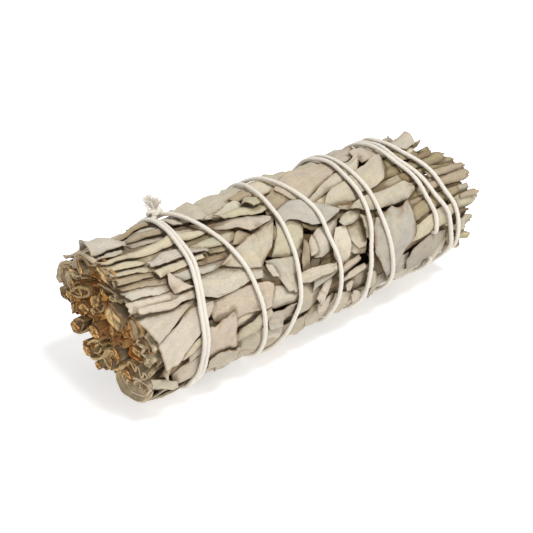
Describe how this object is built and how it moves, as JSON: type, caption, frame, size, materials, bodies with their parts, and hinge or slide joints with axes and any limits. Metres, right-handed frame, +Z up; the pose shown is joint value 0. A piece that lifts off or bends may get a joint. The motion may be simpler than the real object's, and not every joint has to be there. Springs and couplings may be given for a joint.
{
  "type": "dried sage bundle",
  "caption": "Small bundle of dried white sage, leafy stems packed side by side with trimmed ends, lying down and wound round with white cotton string tied in a knot.",
  "frame": {"origin": "middle of the bundle's footprint, on the surface it lies on", "axes": "+X along the bundle from the cut stem ends to the trimmed tips, +Z up"},
  "size_m": [0.1026, 0.0418, 0.0411],
  "materials": {
    "dried_leaf": "matte, velvety dried leaf",
    "cotton_string": "matte twisted cotton"
  },
  "bodies": {
    "root": {"sprig_01": "dried_leaf", "sprig_02": "dried_leaf", "sprig_03": "dried_leaf", "sprig_04": "dried_leaf", "sprig_05": "dried_leaf", "sprig_06": "dried_leaf", "sprig_07": "dried_leaf", "sprig_08": "dried_leaf", "sprig_09": "dried_leaf", "sprig_10": "dried_leaf", "sprig_11": "dried_leaf", "sprig_12": "dried_leaf", "sprig_13": "dried_leaf", "sprig_14": "dried_leaf", "sprig_15": "dried_leaf", "sprig_16": "dried_leaf", "sprig_17": "dried_leaf", "sprig_18": "dried_leaf", "string": "cotton_string"}
  },
  "joints": []
}
